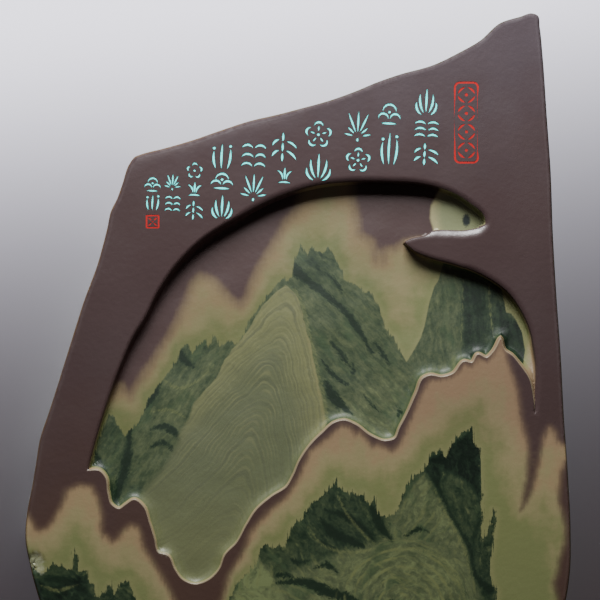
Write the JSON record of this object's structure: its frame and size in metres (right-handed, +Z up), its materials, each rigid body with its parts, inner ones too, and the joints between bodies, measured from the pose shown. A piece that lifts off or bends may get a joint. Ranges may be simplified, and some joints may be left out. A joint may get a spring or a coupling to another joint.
{
  "type": "inkstone",
  "caption": "Flat inkstone: an irregular slab of layered stone with a wide shallow ink well and pigment-filled engraved ornaments.",
  "frame": {"origin": "under the middle of the slab, on its flat back", "axes": "+Z up out of the carved face, +Y towards the top of the design, +X to the right of the design"},
  "size_m": [0.2729, 0.3435, 0.028],
  "materials": {
    "layered_stone": "honed, slightly waxed",
    "turquoise_pigment": "matt mineral pigment",
    "red_pigment": "matt mineral pigment"
  },
  "bodies": {
    "root": {"stone_slab": "layered_stone", "engraving_1_pigment": "turquoise_pigment", "engraving_2_pigment": "turquoise_pigment", "engraving_3_pigment": "turquoise_pigment", "engraving_4_pigment": "turquoise_pigment", "engraving_5_pigment": "turquoise_pigment", "engraving_6_pigment": "turquoise_pigment", "engraving_7_pigment": "turquoise_pigment", "engraving_8_pigment": "turquoise_pigment", "engraving_9_pigment": "turquoise_pigment", "engraving_10_pigment": "turquoise_pigment", "tall_seal_border": "red_pigment", "tall_seal_ornament": "red_pigment", "small_seal_border": "red_pigment", "small_seal_ornament": "red_pigment"}
  },
  "joints": []
}
